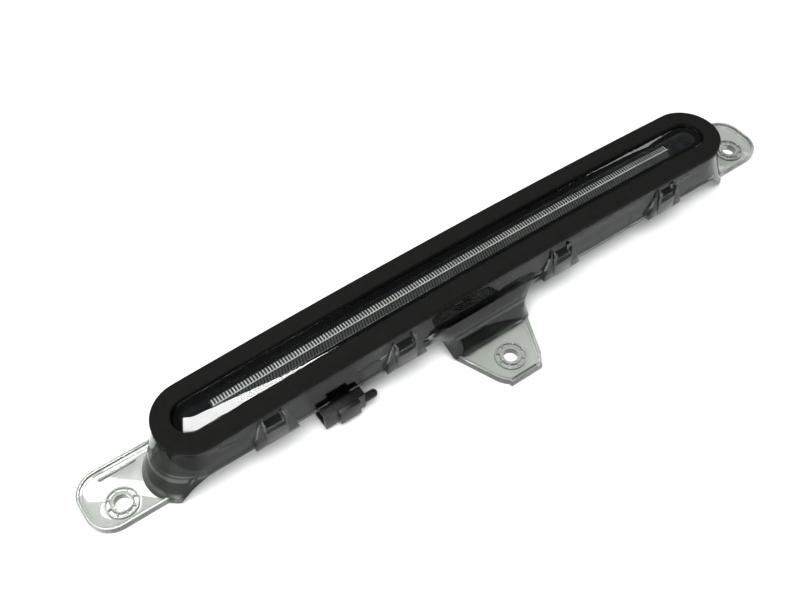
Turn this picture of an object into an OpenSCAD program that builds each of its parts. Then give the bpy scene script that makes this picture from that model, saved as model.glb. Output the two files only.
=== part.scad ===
// High-mount brake lamp: clear lens moulding, black rear housing, light guide and electronics.
// Millimetres. X runs along the lamp, +Z out of its face, and the centre tab is on the -Y side.
// The origin is midway between the two end-tab holes, on the underside of the tabs.

/* [Face] */
// Length of the gasket around the window
face_l = 300; // [290:1:310]
// Width of the gasket around the window
face_w = 33; // [32:0.5:35]
// Width of the gasket's strip
strip_w = 8.2; // [7.5:0.1:8.6]
// Thickness of the gasket
gasket_t = 3.4; // [3:0.1:4]
// Height of the face's middle above the underside of the tabs
face_h = 36.5; // [36:0.5:38]
// Radius of the face's bow along its length
bow_r = 2970; // [2500:10:4000]
// Distance from the line of the end holes to the lamp's centre line
lamp_y = 1.2; // [0.8:0.1:1.6]

/* [Lens moulding] */
// Thickness of the clear side walls
wall_t = 2.2; // [2:0.1:2.4]
// Height of the side walls' lower edge
wall_z = 12.5; // [12:0.1:12.5]
// Depth of the window pad below the gasket's top
pad_drop = 1.3; // [1:0.1:1.8]
// How far the flared ends lean outwards
flare = 10; // [9:0.5:10.5]

/* [Tabs] */
// Distance between the two end-tab holes
hole_pitch = 342.2; // [341:0.1:344]
// Diameter of the holes in the tabs
hole_d = 6.8; // [6.4:0.1:7]
// Thickness of the tab plates
tab_t = 2.4; // [2.2:0.1:2.8]
// Height of the rims and bosses above the tab plates
rim_h = 1; // [0.8:0.1:1.2]
// Distance from the end holes to the centre tab's hole
centre_reach = 34.8; // [34:0.1:36]

/* [Catches] */
// Distance of the inner catches from the middle
catch_in = 43; // [42:0.5:45]
// Distance of the outer catches from the middle
catch_out = 107; // [104:0.5:109]

/* [Light guide] */
// Length of the light guide
guide_l = 248; // [244:1:248]
// Width of the light guide
guide_w = 9.2; // [8.8:0.1:9.2]
// Pitch of the prism teeth
tooth_p = 1.4; // [1.2:0.1:2]

/* [Hidden] */
$fn = 96;
eps = 0.01;

// Heights of the stack under the face's middle
gasket_z = face_h - gasket_t;
adhesive_t = 0.3;
flange_top = gasket_z - adhesive_t;
flange_t = 2.6;
flange_z = flange_top - flange_t;
pad_top = face_h - pad_drop;
rim_top = flange_z - 2.1;
bezel_t = 1.8;

// Plan sizes of the stack
window_l = face_l - 2 * strip_w;
window_w = face_w - 2 * strip_w;
lens_l = face_l - 1;
lens_w = face_w - 1;
tub_l = lens_l - 2 * wall_t - 0.8;
tub_w = lens_w - 2 * wall_t - 0.8;
tub_wall = 2.4;
bead_w = 1.2;
tub_floor_z = wall_z + 0.5;
floor_t = 2;
floor_top = tub_floor_z + floor_t;
bow_steps = 24;

// Light guide and electronics
guide_h = 6;
guide_top = rim_top + bezel_t - 0.2;
guide_z = guide_top - guide_h;
tooth_h = 0.8;
tooth_n = floor(guide_l / tooth_p);
row_w = 2.9;
channel_t = 0.8;
channel_gap = 0.2;
led_size = 3.4;
led_t = 0.8;
led_x = guide_l / 2 + 0.6;
led_z = guide_z - bow(guide_l / 2) + guide_h / 2 - 1;
led_board_t = 1.6;
led_board_top = rim_top - bow(guide_l / 2) - 0.4;
board_x = -70;
board_l = 60;
board_w = 21;
board_t = 1.6;
board_z = floor_top + 1;
board_top = board_z + board_t;
screw_r = 1.1;
board_screw_x = [-96, -44];
bezel_screw_x = [-136, 136];
wire_r = 0.7;
wire_y = [-2.4, 2.4];

// Connector socket, hung under the floor on the near side
socket_x = -86;
socket_l = 20;
socket_y = -18.8;
socket_w = 13.6;
socket_z = 2;
socket_h = 9.2;
socket_t = 1.5;
neck_x = -77;
neck_y = -10.2;
neck_l = 12;
neck_w = 4.4;
seal_rim = 1.6;
stub_r = 1.9;
stub_l = 4.5;
stub_z = socket_z + 4.6;
latch_out = 2;
hook_out = 3.2;
hook_lip = 1.4;
hook_h = 4.8;
blade_w = 1.5;
blade_t = 0.64;
blade_z = socket_z + socket_h / 2;
blade_y = [-8.6, -14];
terminal_legs = [[-68.5, -8.6], [-72.5, -8.6]];
seal_t = 1.2;
vent_x = 72;
vent_r = 4;

// Drop of the bowed face at x along the lamp
function bow(x) = bow_r - sqrt(bow_r * bow_r - x * x);

function bow_line(z) = [for (i = [0 : bow_steps])
    let (x = face_l / 2 * (2 * i / bow_steps - 1) * 1.02) [x, z - bow(x)]];
function reversed(a) = [for (i = [len(a) - 1 : -1 : 0]) a[i]];

// A slab between two heights that follows the face's bow
module bowed(z0, z1, w = 60) {
    rotate([90, 0, 0])
        linear_extrude(height = w, center = true)
            polygon(concat(bow_line(z1), reversed(bow_line(z0))));
}

// Everything below a bowed height
module below(z, w = 60) {
    rotate([90, 0, 0])
        linear_extrude(height = w, center = true)
            polygon(concat(bow_line(z), [[face_l, -5], [-face_l, -5]]));
}

module stadium(l, w) {
    square([l - w, w], center = true);
    for (s = [-1, 1]) {
        translate([s * (l - w) / 2, 0]) circle(d = w);
    }
}

// A round-ended ring or plate that follows the bow
module bowed_ring(l, w, strip, z0, z1) {
    intersection() {
        linear_extrude(height = face_h + 5)
            difference() {
                stadium(l, w);
                stadium(l - 2 * strip, w - 2 * strip);
            }
        bowed(z0, z1);
    }
}

module bowed_plate(l, w, z0, z1) {
    intersection() {
        linear_extrude(height = face_h + 5) stadium(l, w);
        bowed(z0, z1);
    }
}

module box(p, s) {
    translate(p) cube(s);
}

module both_ends() {
    for (s = [0, 1]) {
        mirror([s, 0, 0]) children();
    }
}

// End tab outline in plan, on the +X side, shrunk by e
module end_tab_2d(e) {
    tab_x0 = 151;
    tab_x1 = hole_pitch / 2 + 15.1;
    tab_y0 = -9.8;
    tab_y1 = 19.6;
    r = 11.3;
    translate([tab_x0, tab_y0 + e]) square([tab_x1 - r - tab_x0, tab_y1 - tab_y0 - 2 * e]);
    translate([tab_x1 - r, tab_y0 + r]) square([r - e, tab_y1 - tab_y0 - 2 * r]);
    for (y = [tab_y0 + r, tab_y1 - r]) {
        translate([tab_x1 - r, y]) circle(r = r - e);
    }
}

// Centre tab outline in plan: a round end about the hole, straight sides that widen
// towards the lamp, and a flat outer edge with small ears
module centre_tab_2d(e) {
    r = 13.3;
    root_y = -21.7;
    root_w = 20;
    end_y = -46.5;
    dx = root_w;
    dy = root_y + centre_reach;
    a = atan2(dy, dx) - acos(r / norm([dx, dy]));
    tx = (r - e) * cos(a);
    ty = (r - e) * sin(a) - centre_reach;
    intersection() {
        union() {
            translate([0, -centre_reach]) circle(r = r - e);
            polygon([[-root_w + e, root_y + eps], [root_w - e, root_y + eps], [tx, ty], [-tx, ty]]);
            translate([-8.4 + e, end_y]) square([16.8 - 2 * e, 4]);
        }
        translate([-30, end_y + e]) square([60, 40]);
    }
}

// Raised collar, ring and spokes around a tab hole
module boss() {
    collar_r = 4.9;
    ring_r = 7.2;
    ring_w = 0.8;
    spokes = 8;
    translate([0, 0, tab_t - eps]) {
        cylinder(r = collar_r, h = rim_h + eps);
        difference() {
            cylinder(r = ring_r, h = rim_h - 0.2);
            translate([0, 0, -1]) cylinder(r = ring_r - ring_w, h = rim_h + 2);
        }
        for (i = [0 : spokes - 1]) {
            rotate([0, 0, i * 360 / spokes])
                translate([collar_r - 0.3, -ring_w / 2, 0])
                    cube([ring_r - collar_r, ring_w, rim_h - 0.2]);
        }
    }
}

// Half of the body's outline on the +X side, grown by e: flat sides, and a round end that leans
// outwards as it goes down
module body_half(e) {
    r = lens_w / 2 + e;
    drop = flange_z - tab_t;
    back = lens_l / 2;
    translate([(lens_l - lens_w) / 2, lamp_y, flange_z])
        rotate([0, -atan2(flare, drop), 0])
            linear_extrude(height = 8 * drop, center = true) {
                circle(r = r);
                translate([-back, -r]) square([back, 2 * r]);
            }
}

// Space below the walls, arched down to the end tabs
module undercut() {
    arch_r = wall_z - tab_t;
    arch_x = 140;
    rotate([90, 0, 0])
        linear_extrude(height = 80, center = true) {
            translate([-arch_x, -1]) square([2 * arch_x, wall_z + 1]);
            for (s = [-1, 1]) {
                translate([s * arch_x, tab_t]) circle(r = arch_r);
                translate([s * arch_x - arch_r, -1]) square([2 * arch_r, tab_t + 1]);
            }
        }
}

// Frame of one catch on the wall, at x = 0, with wedges that widen downwards
module catch_frame() {
    y0 = -lens_w / 2;
    proud = 2.6;
    half = 5.2;
    post = 0.9;
    notch_z = 21;
    top_z = 28;
    wedge_w = 5.1;
    difference() {
        box([-half, y0 - proud, wall_z], [2 * half, proud + eps, top_z - wall_z]);
        box([-half + post, y0 - proud - 1, notch_z], [2 * (half - post), 10, 20]);
    }
    for (s = [-1, 1]) {
        intersection() {
            rotate([90, 0, 90])
                linear_extrude(height = 30, center = true)
                    polygon([[y0 + eps, wall_z], [y0 - proud, wall_z], [y0 - proud, wall_z + 1.5],
                        [y0 - 0.6, top_z - 1], [y0 + eps, top_z - 1]]);
            translate([0, y0 + 5, 0])
                rotate([90, 0, 0])
                    linear_extrude(height = 20)
                        polygon([[s * (half - eps), wall_z], [s * (half + wedge_w), wall_z],
                            [s * (half + wedge_w), wall_z + 1.2], [s * (half + 1.3), top_z - 1],
                            [s * (half - eps), top_z - 1]]);
        }
    }
}

// Opening in the wall behind a catch frame
module catch_opening() {
    box([-4.3, -lens_w / 2 - 5, 21], [8.6, 8, 7.2]);
}

module at_catches() {
    for (x = [-catch_out, -catch_in, catch_in, catch_out]) {
        for (s = [0, 1]) {
            translate([x, lamp_y, 0]) mirror([0, s, 0]) children();
        }
    }
}

// Steep plate, spread at its top, and side webs that join the wall to the centre tab
module apron() {
    y_top = lamp_y - lens_w / 2;
    y_low = -21.7;
    z_top = 19;
    plate_h = norm([y_top - y_low, z_top - tab_t]);
    plate_t = 2;
    root = 20;
    spread = 13;
    steps = 12;
    side = [for (i = [0 : steps])
        let (a = 90 * i / steps) [root + spread * (1 - cos(a)), plate_h - spread * (1 - sin(a))]];
    translate([0, y_low, tab_t])
        rotate([90 - atan2(y_top - y_low, z_top - tab_t), 0, 0])
            translate([0, 0, -plate_t])
                linear_extrude(height = plate_t)
                    polygon(concat([[-root, -1], [root, -1]], side,
                        [for (p = reversed(side)) [-p[0], p[1]]]));
    for (x = [-root, root - plate_t]) {
        translate([x, 0, 0])
            rotate([90, 0, 90])
                linear_extrude(height = plate_t)
                    polygon([[y_low + 0.1, tab_t - 1], [y_low + 4, tab_t - 1], [y_top + 1, wall_z],
                        [y_top + 1, z_top - 0.5], [y_top, z_top - 0.5]]);
    }
}

module lens_housing() {
    color([0.72, 0.75, 0.73, 0.6])
    difference() {
        union() {
            translate([0, lamp_y, 0]) {
                bowed_plate(lens_l, lens_w, flange_z, flange_top);
                bowed_plate(window_l - 0.6, window_w - 0.6, flange_z, pad_top);
            }
            // Side walls that run into the flared ends, and the end tabs
            difference() {
                both_ends() {
                    intersection() {
                        body_half(0);
                        translate([0, lamp_y, 0]) below(flange_z + flange_t / 2);
                        box([-1, -face_w, 0], [face_l, 2 * face_w, face_h]);
                    }
                    linear_extrude(height = tab_t) end_tab_2d(0);
                    translate([0, 0, tab_t - eps])
                        linear_extrude(height = rim_h)
                            difference() {
                                end_tab_2d(0);
                                end_tab_2d(1.3);
                            }
                    translate([hole_pitch / 2, 0, 0]) boss();
                    // Stiffening bead beside the far edge
                    box([158, 14, tab_t - eps], [17, 1.2, 0.7]);
                }
                both_ends() body_half(-wall_t);
                undercut();
            }
            at_catches() catch_frame();
            apron();
            // Centre tab
            linear_extrude(height = tab_t) centre_tab_2d(0);
            translate([0, 0, tab_t - eps])
                linear_extrude(height = rim_h)
                    difference() {
                        centre_tab_2d(0);
                        centre_tab_2d(1.3);
                    }
            translate([0, -centre_reach, 0]) boss();
            // Small rib on the near wall
            box([85.6, lamp_y - lens_w / 2 - 1, wall_z], [1.2, 1 + eps, 11]);
        }
        // Hollow behind the window pad
        translate([0, lamp_y, 0]) bowed_plate(window_l - 7, window_w - 6.6, flange_z - 1, flange_z + 2.2);
        at_catches() catch_opening();
        for (x = [-hole_pitch / 2, hole_pitch / 2]) {
            translate([x, 0, -1]) cylinder(d = hole_d, h = 10);
        }
        translate([0, -centre_reach, -1]) cylinder(d = hole_d, h = 10);
    }
}

module gasket() {
    color([0.08, 0.08, 0.08])
    translate([0, lamp_y, 0]) bowed_ring(face_l, face_w, strip_w, gasket_z, face_h);
}

module gasket_adhesive() {
    color([0.85, 0.85, 0.8])
    translate([0, lamp_y, 0])
        bowed_ring(lens_l - 1, lens_w - 1, strip_w - 1.5, flange_top, gasket_z);
}

module seal_bead() {
    color([0.2, 0.2, 0.2])
    translate([0, lamp_y, 0]) bowed_ring(tub_l, tub_w, bead_w, rim_top, flange_z);
}

// Black frame behind the window, open over the light guide
module inner_bezel() {
    slot_l = guide_l + 0.8;
    slot_w = guide_w + 0.6;
    color([0.03, 0.03, 0.03])
    translate([0, lamp_y, 0])
        difference() {
            bowed_plate(tub_l - 2 * bead_w - 0.4, tub_w - 2 * bead_w - 0.4, rim_top, rim_top + bezel_t);
            translate([-slot_l / 2, -slot_w / 2, 0]) cube([slot_l, slot_w, face_h]);
            // Shallow panel that leaves a line beside the guide and across each end
            intersection() {
                translate([-128, -7.6, 0]) cube([256, 15.2, face_h]);
                bowed(rim_top + bezel_t - 0.4, face_h);
            }
            for (x = bezel_screw_x) {
                translate([x, 0, 0]) cylinder(r = screw_r, h = face_h);
            }
        }
}

// Bar with a row of prism teeth along the far half of its top
module light_guide() {
    tooth_x = [for (i = [0 : tooth_n]) -tooth_n * tooth_p / 2 + i * tooth_p];
    top = [for (x = tooth_x, k = [0, 1])
        [x + k * tooth_p / 2, guide_top - bow(x) - k * tooth_h]];
    base = [for (i = [0 : bow_steps])
        let (x = guide_l / 2 * (1 - 2 * i / bow_steps)) [x, guide_z - bow(x)]];
    color([0.85, 0.88, 0.86])
    translate([0, lamp_y, 0]) {
        translate([0, guide_w / 2, 0])
            rotate([90, 0, 0])
                linear_extrude(height = row_w)
                    polygon(concat([[-guide_l / 2, guide_top - bow(guide_l / 2) - tooth_h]],
                        [for (p = top) if (abs(p[0]) <= guide_l / 2 - tooth_p) p],
                        [[guide_l / 2, guide_top - bow(guide_l / 2) - tooth_h]], base));
        intersection() {
            box([-guide_l / 2, -guide_w / 2, 0], [guide_l, guide_w - row_w + eps, face_h]);
            bowed(guide_z, guide_top);
        }
    }
}

// White channel that the guide lies in
module guide_reflector() {
    inner_w = guide_w + 2 * channel_gap;
    outer_w = inner_w + 2 * channel_t;
    color([0.92, 0.92, 0.9])
    translate([0, lamp_y, 0])
        difference() {
            intersection() {
                box([-guide_l / 2, -outer_w / 2, 0], [guide_l, outer_w, face_h]);
                bowed(guide_z - channel_t, rim_top - 0.2);
            }
            intersection() {
                box([-guide_l, -inner_w / 2, 0], [2 * guide_l, inner_w, face_h]);
                bowed(guide_z, face_h + 5);
            }
        }
}

// Light source on the +X side
module led() {
    color([0.95, 0.85, 0.5])
    translate([led_x, lamp_y - led_size / 2, led_z - led_size / 2]) cube([led_t, led_size, led_size]);
}

module led_board() {
    color([0.75, 0.77, 0.78])
    box([led_x + led_t, lamp_y - 6, floor_top + 1.5], [led_board_t, 12, led_board_top - floor_top - 1.5]);
}

// Block that stands on the floor and holds the light source's board
module led_holder() {
    x0 = led_x + led_t + led_board_t;
    color([0.12, 0.12, 0.12]) {
        box([x0, lamp_y - 7.2, floor_top], [4, 14.4, led_board_top - floor_top]);
        for (s = [-1, 1]) {
            box([x0 - 2.2, lamp_y + s * 6.7 - 0.5, floor_top], [2.3, 1, led_board_top - floor_top]);
        }
    }
}

// Black tub with its snap hooks, screw posts and openings
module rear_housing() {
    post_r = 2.4;
    hook_w = 7.6;
    hook_z = 22;
    color([0.06, 0.06, 0.06])
    difference() {
        union() {
            translate([0, lamp_y, 0])
                difference() {
                    intersection() {
                        linear_extrude(height = face_h) stadium(tub_l, tub_w);
                        below(rim_top);
                        box([-face_l, -face_w, tub_floor_z], [2 * face_l, 2 * face_w, face_h]);
                    }
                    translate([0, 0, floor_top])
                        linear_extrude(height = face_h)
                            stadium(tub_l - 2 * tub_wall, tub_w - 2 * tub_wall);
                }
            // Posts under the driver board and under the bezel's ends
            for (x = board_screw_x) {
                translate([x, lamp_y, tub_floor_z + eps])
                    cylinder(r = post_r, h = board_z - tub_floor_z - eps);
            }
            for (x = bezel_screw_x) {
                translate([x, lamp_y, tub_floor_z + eps])
                    cylinder(r = post_r, h = rim_top - bow(abs(x) + post_r) - tub_floor_z - 0.1);
            }
            // Hooks that reach into the catch openings
            at_catches() {
                rotate([90, 0, 90])
                    linear_extrude(height = hook_w, center = true)
                        polygon([[-tub_w / 2 + eps, hook_z], [-tub_w / 2 - hook_out, hook_z],
                            [-tub_w / 2 - hook_out, hook_z + hook_lip],
                            [-tub_w / 2 + eps, hook_z + hook_h]]);
            }
        }
        for (x = concat(board_screw_x, bezel_screw_x)) {
            translate([x, lamp_y, floor_top - 1]) cylinder(r = screw_r, h = face_h);
        }
        // Neck of the socket
        box([neck_x, neck_y, 0], [neck_l, neck_w, floor_top + 1]);
        translate([vent_x, lamp_y, 0]) cylinder(r = vent_r, h = floor_top + 1);
    }
}

module driver_board() {
    color([0.1, 0.35, 0.18])
    difference() {
        box([board_x - board_l / 2, lamp_y - board_w / 2, board_z], [board_l, board_w, board_t]);
        for (x = board_screw_x) {
            translate([x, lamp_y, 0]) cylinder(r = screw_r, h = face_h);
        }
        for (p = terminal_legs) {
            translate([p[0] - blade_t / 2, p[1] - blade_w / 2, 0]) cube([blade_t, blade_w, face_h]);
        }
    }
}

module driver_chip() {
    color([0.1, 0.1, 0.1])
    box([-62, lamp_y - 2.6, board_top], [5.2, 5.2, 1.2]);
}

module resistors() {
    color([0.15, 0.15, 0.15])
    for (i = [0 : 5]) {
        box([-92 + i * 3.2, lamp_y + 2, board_top], [1.6, 3.2, 0.6]);
    }
}

module capacitors() {
    color([0.78, 0.78, 0.8])
    for (x = [-86, -79]) {
        translate([x, lamp_y + 8.1, board_top]) cylinder(r = 2.1, h = 5.4);
    }
}

module diodes() {
    color([0.08, 0.08, 0.08])
    for (x = [-54, -48]) {
        box([x, lamp_y - 9, board_top], [4.4, 2.6, 2]);
    }
}

// One pan-head screw with its head's seat at z = 0
module screw(shank) {
    head_r = 2.1;
    head_h = 1.4;
    difference() {
        union() {
            cylinder(r = head_r, h = head_h);
            translate([0, 0, -shank]) cylinder(r = screw_r, h = shank + eps);
        }
        for (a = [0, 90]) {
            rotate([0, 0, a]) translate([-1.2, -0.25, head_h - 0.7]) cube([2.4, 0.5, 1]);
        }
    }
}

module board_screws() {
    color([0.7, 0.7, 0.72])
    for (x = board_screw_x) {
        translate([x, lamp_y, board_top]) screw(board_top - floor_top + 0.9);
    }
}

module bezel_screws() {
    color([0.7, 0.7, 0.72])
    for (x = bezel_screw_x) {
        translate([x, lamp_y, rim_top + bezel_t - bow(x) + 0.05]) screw(8);
    }
}

// Wire from the driver board's end at x0 to the light source's board at x1
module wire(x0, x1, y) {
    s = x1 > x0 ? 1 : -1;
    z0 = floor_top + wire_r;
    z1 = board_top + wire_r;
    xa = x0 + s * (wire_r + 0.4);
    xb = x1 - s * wire_r;
    translate([xa, y, z0]) {
        sphere(r = wire_r);
        rotate([0, s * 90, 0]) cylinder(r = wire_r, h = abs(xb - xa));
        cylinder(r = wire_r, h = z1 - z0);
    }
    translate([xb, y, z0]) {
        sphere(r = wire_r);
        cylinder(r = wire_r, h = z1 - z0 + 1);
    }
    translate([xa, y, z1]) {
        sphere(r = wire_r);
        rotate([0, -s * 90, 0]) cylinder(r = wire_r, h = wire_r + 2);
    }
}

module wires_left() {
    color([0.7, 0.1, 0.1])
    for (y = wire_y) {
        wire(board_x - board_l / 2, -led_x - led_t + 0.05, lamp_y + y);
    }
}

module wires_right() {
    color([0.7, 0.1, 0.1])
    for (y = wire_y) {
        wire(board_x + board_l / 2, led_x + led_t - 0.05, lamp_y + y);
    }
}

// Socket with its mouth towards -X, a latch ramp on the near side and a stub at its closed end
module connector_shroud() {
    ramp_x = -79.6;
    ramp_l = 10.1;
    color([0.05, 0.05, 0.05]) {
        difference() {
            union() {
                box([socket_x, socket_y, socket_z], [socket_l, socket_w, socket_h]);
                box([ramp_x, socket_y - latch_out, socket_z + 0.6], [ramp_l, latch_out + eps, socket_h - 1]);
                box([neck_x, neck_y, socket_z + socket_h - eps], [neck_l, neck_w, seal_t + 0.6 + floor_t]);
            }
            box([socket_x - 1, socket_y + socket_t, socket_z + socket_t],
                [socket_l - 2, socket_w - 2 * socket_t, socket_h - 2 * socket_t]);
            for (p = terminal_legs) {
                translate([p[0] - blade_t / 2, p[1] - blade_w / 2, blade_z])
                    cube([blade_t, blade_w, face_h]);
            }
            for (y = blade_y) {
                box([socket_x, y - blade_w / 2, blade_z - blade_t / 2], [socket_l + 4, blade_w, blade_t]);
            }
        }
        translate([socket_x + socket_l - eps, socket_y + 1, stub_z])
            rotate([0, 90, 0]) {
                cylinder(r = stub_r, h = stub_l);
                translate([0, 0, stub_l]) sphere(r = stub_r);
            }
    }
}

module connector_terminals() {
    color([0.85, 0.7, 0.3])
    for (i = [0, 1]) {
        leg = terminal_legs[i];
        box([socket_x + 4, blade_y[i] - blade_w / 2, blade_z - blade_t / 2],
            [leg[0] + blade_t / 2 - socket_x - 4, blade_w, blade_t]);
        box([leg[0] - blade_t / 2, leg[1] - blade_w / 2, blade_z - blade_t / 2],
            [blade_t, blade_w, board_top + 0.8 - blade_z]);
    }
}

// Rubber ring around the socket's neck
module connector_seal() {
    color([0.25, 0.25, 0.25])
    difference() {
        box([neck_x - seal_rim, neck_y - seal_rim, socket_z + socket_h],
            [neck_l + 2 * seal_rim, neck_w + 2 * seal_rim, tub_floor_z - socket_z - socket_h]);
        box([neck_x, neck_y, 0], [neck_l, neck_w, face_h]);
    }
}

// Breather plug in the floor
module vent_body() {
    color([0.1, 0.1, 0.1])
    translate([vent_x, lamp_y, 0])
        difference() {
            union() {
                translate([0, 0, tub_floor_z]) cylinder(r = vent_r, h = floor_t + 1.5);
                translate([0, 0, tub_floor_z - 1.2]) cylinder(r = vent_r + 2, h = 1.2 + eps);
            }
            cylinder(r = vent_r - 1.2, h = face_h);
        }
}

module vent_membrane() {
    color([0.95, 0.95, 0.95])
    translate([vent_x, lamp_y, tub_floor_z + 1]) cylinder(r = vent_r - 1.2, h = 0.4);
}

lens_housing();
gasket();
gasket_adhesive();
seal_bead();
inner_bezel();
light_guide();
guide_reflector();
mirror([1, 0, 0]) led();  // led_left
led();  // led_right
mirror([1, 0, 0]) led_board();  // led_board_left
led_board();  // led_board_right
mirror([1, 0, 0]) led_holder();  // led_holder_left
led_holder();  // led_holder_right
rear_housing();
driver_board();
driver_chip();
resistors();
capacitors();
diodes();
board_screws();
bezel_screws();
wires_left();
wires_right();
connector_shroud();
connector_terminals();
connector_seal();
vent_body();
vent_membrane();
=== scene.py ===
"""Looks of the high-mount brake lamp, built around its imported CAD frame.

Lengths are metres. X runs along the lamp, +Z out of its face, and the centre tab is on the -Y side.
"""
import logging
import math
from dataclasses import dataclass, field
from enum import Enum, IntEnum
from functools import cached_property
from typing import Iterable, Sequence

import bmesh
import bpy
from mathutils import Matrix, Vector


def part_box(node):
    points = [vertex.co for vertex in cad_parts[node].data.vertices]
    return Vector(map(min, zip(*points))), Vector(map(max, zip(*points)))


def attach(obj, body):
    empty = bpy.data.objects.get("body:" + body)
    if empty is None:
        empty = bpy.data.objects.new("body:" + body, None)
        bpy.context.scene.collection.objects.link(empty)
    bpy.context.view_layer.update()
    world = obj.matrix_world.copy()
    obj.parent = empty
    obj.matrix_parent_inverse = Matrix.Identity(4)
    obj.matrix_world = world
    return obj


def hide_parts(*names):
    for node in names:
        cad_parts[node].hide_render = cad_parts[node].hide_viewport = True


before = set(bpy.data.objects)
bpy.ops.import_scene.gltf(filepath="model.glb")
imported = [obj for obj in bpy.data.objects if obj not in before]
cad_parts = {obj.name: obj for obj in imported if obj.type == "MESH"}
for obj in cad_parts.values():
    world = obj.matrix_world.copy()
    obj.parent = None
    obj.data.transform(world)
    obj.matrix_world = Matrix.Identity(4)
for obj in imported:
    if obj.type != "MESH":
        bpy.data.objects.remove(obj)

logging.basicConfig(level=logging.INFO, format="%(message)s")
log = logging.getLogger("lamp")

MM = 0.001
BODY = "root"
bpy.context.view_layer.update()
Point = tuple[float, float]


# ---------------------------------------------------------------- shader tools

class Sock:
    """A shader socket whose operators add Math nodes."""

    def __init__(self, graph: "Graph", link: bpy.types.NodeSocket) -> None:
        """Keep the graph and the socket that carries the value."""
        self.graph = graph
        self.link = link

    def math(self, operation: str, other: "Sock | float", swap: bool = False) -> "Sock":
        """Combine this value with another.

        Args:
            operation: The Math node's operation.
            other: The second value.
            swap: Whether the other value comes first.

        Returns:
            The result.
        """
        pair = [other, self] if swap else [self, other]
        return self.graph.node("ShaderNodeMath", {"operation": operation}, {0: pair[0], 1: pair[1]})

    def __add__(self, other: "Sock | float") -> "Sock":
        """Sum."""
        return self.math("ADD", other)

    def __radd__(self, other: float) -> "Sock":
        """Sum with a number on the left."""
        return self.math("ADD", other, swap=True)

    def __sub__(self, other: "Sock | float") -> "Sock":
        """Difference."""
        return self.math("SUBTRACT", other)

    def __rsub__(self, other: float) -> "Sock":
        """Difference with a number on the left."""
        return self.math("SUBTRACT", other, swap=True)

    def __mul__(self, other: "Sock | float") -> "Sock":
        """Product."""
        return self.math("MULTIPLY", other)

    def __rmul__(self, other: float) -> "Sock":
        """Product with a number on the left."""
        return self.math("MULTIPLY", other, swap=True)


class Graph:
    """The node tree of one material."""

    def __init__(self, name: str) -> None:
        """Start a material that holds only a Principled shader and its output."""
        self.material = bpy.data.materials.new(name)
        self.material.use_nodes = True
        self.tree = self.material.node_tree
        self.tree.nodes.clear()
        self.output = self.tree.nodes.new("ShaderNodeOutputMaterial")
        self.shader = self.tree.nodes.new("ShaderNodeBsdfPrincipled")
        self.tree.links.new(self.shader.outputs[0], self.output.inputs[0])

    def node(self, kind: str, settings: dict, inputs: dict, out: int | str = 0) -> Sock:
        """Add one node.

        Args:
            kind: The node's type.
            settings: Attributes, which are set first.
            inputs: Values or links by socket name or number.
            out: The output that is wanted.

        Returns:
            The output socket.
        """
        made = self.tree.nodes.new(kind)
        for key, value in settings.items():
            setattr(made, key, value)
        for key, value in inputs.items():
            self.feed(made.inputs[key], value)
        return Sock(self, made.outputs[out])

    def feed(self, socket: bpy.types.NodeSocket, value: object) -> None:
        """Link or set one input socket."""
        if isinstance(value, Sock):
            self.tree.links.new(value.link, socket)
        else:
            socket.default_value = value

    def place(self) -> Sock:
        """The Object coordinates."""
        return self.node("ShaderNodeTexCoord", {}, {}, "Object")

    def noise(self, scale: float, detail: float = 3.0,
              stretch: tuple[float, float, float] = (1, 1, 1)) -> Sock:
        """Smooth noise.

        Args:
            scale: Waves per metre.
            detail: Octaves.
            stretch: Scale of each axis.

        Returns:
            A value from 0 to 1.
        """
        where = self.node("ShaderNodeMapping", {}, {"Vector": self.place(), "Scale": stretch})
        return self.node("ShaderNodeTexNoise", {}, {"Vector": where, "Scale": scale, "Detail": detail})

    def cells(self, scale: float) -> Sock:
        """Distance to the nearest of scattered points, for pores and grains."""
        return self.node("ShaderNodeTexVoronoi", {}, {"Vector": self.place(), "Scale": scale}, "Distance")

    def ramp(self, value: Sock, low: float, high: float, to_low: float, to_high: float) -> Sock:
        """Map a value from one range to another and clamp it."""
        return self.node("ShaderNodeMapRange", {"clamp": True},
                         {"Value": value, "From Min": low, "From Max": high,
                          "To Min": to_low, "To Max": to_high})

    def blend(self, factor: Sock, first: "Sequence[float] | Sock", second: "Sequence[float] | Sock") -> Sock:
        """Mix two colours."""
        made = self.tree.nodes.new("ShaderNodeMix")
        made.data_type = "RGBA"
        self.feed(made.inputs[0], factor)
        for place, colour in ((6, first), (7, second)):
            self.feed(made.inputs[place], colour if isinstance(colour, Sock) else (*colour, 1.0))
        return Sock(self, made.outputs[2])

    def bump(self, height: Sock, depth: float, strength: float = 1.0) -> Sock:
        """A normal from a height between 0 and 1 that stands for a depth in metres."""
        return self.node("ShaderNodeBump", {}, {"Height": height, "Distance": depth, "Strength": strength})

    def set(self, **sockets: object) -> None:
        """Set or link the shader's own sockets, with underscores for spaces in their names."""
        for key, value in sockets.items():
            self.feed(self.shader.inputs[key.replace("_", " ")], value)


def shade(colour: Sequence[float], factor: float) -> tuple[float, float, float]:
    """A colour made lighter or darker."""
    return tuple(min(1.0, c * factor) for c in colour[:3])


# ---------------------------------------------------------------- finishes

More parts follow.
